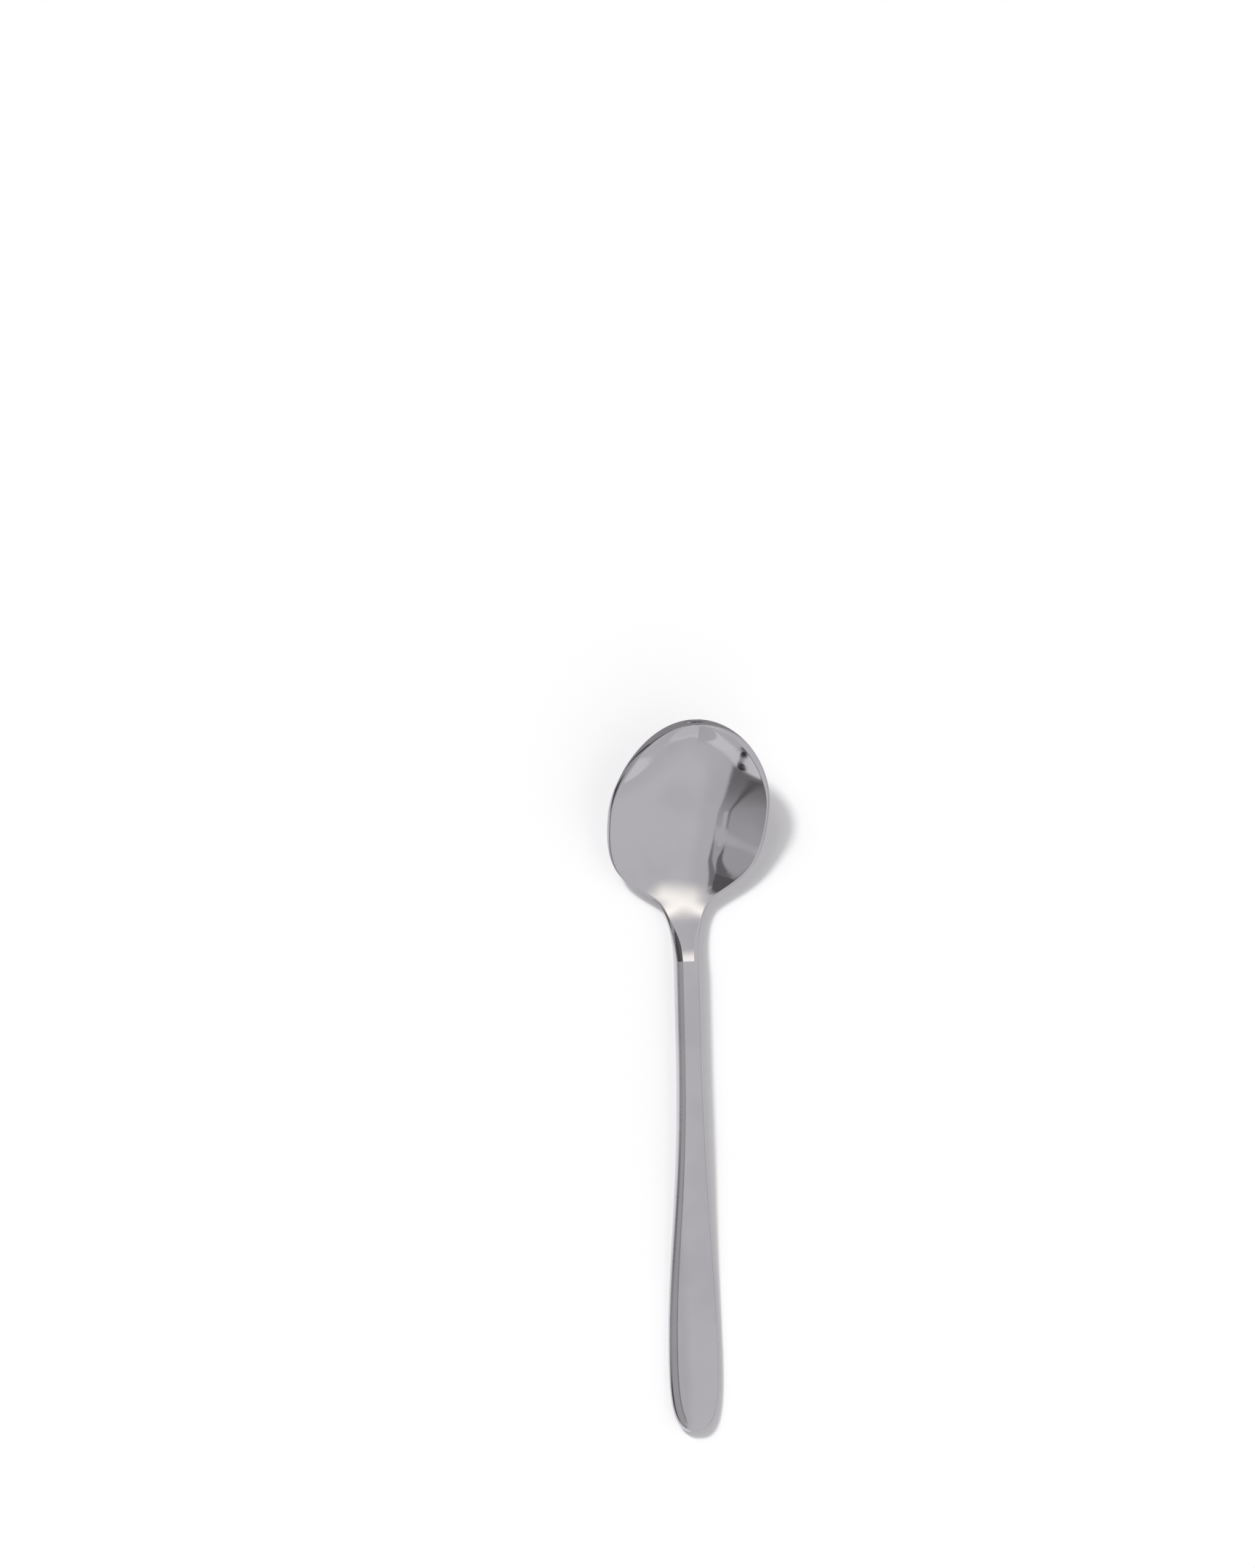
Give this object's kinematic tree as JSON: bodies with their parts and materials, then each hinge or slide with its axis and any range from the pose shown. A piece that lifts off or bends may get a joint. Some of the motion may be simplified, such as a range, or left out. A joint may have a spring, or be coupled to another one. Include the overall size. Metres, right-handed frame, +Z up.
{
  "type": "teaspoon",
  "caption": "Polished steel teaspoon with an oval bowl, a short ramped neck and a bevelled handle that widens to a rounded end, for stirring and measuring small amounts",
  "frame": {"origin": "on the table under the middle of the spoon's length, in its plane of symmetry", "axes": "the spoon lies along Y with the bowl towards +Y, +X across it, +Z up out of the hollow of the bowl"},
  "size_m": [0.033, 0.1398, 0.0133],
  "materials": {
    "polished_steel": "polished"
  },
  "bodies": {
    "root": {"bowl": "polished_steel", "handle": "polished_steel"}
  },
  "joints": []
}
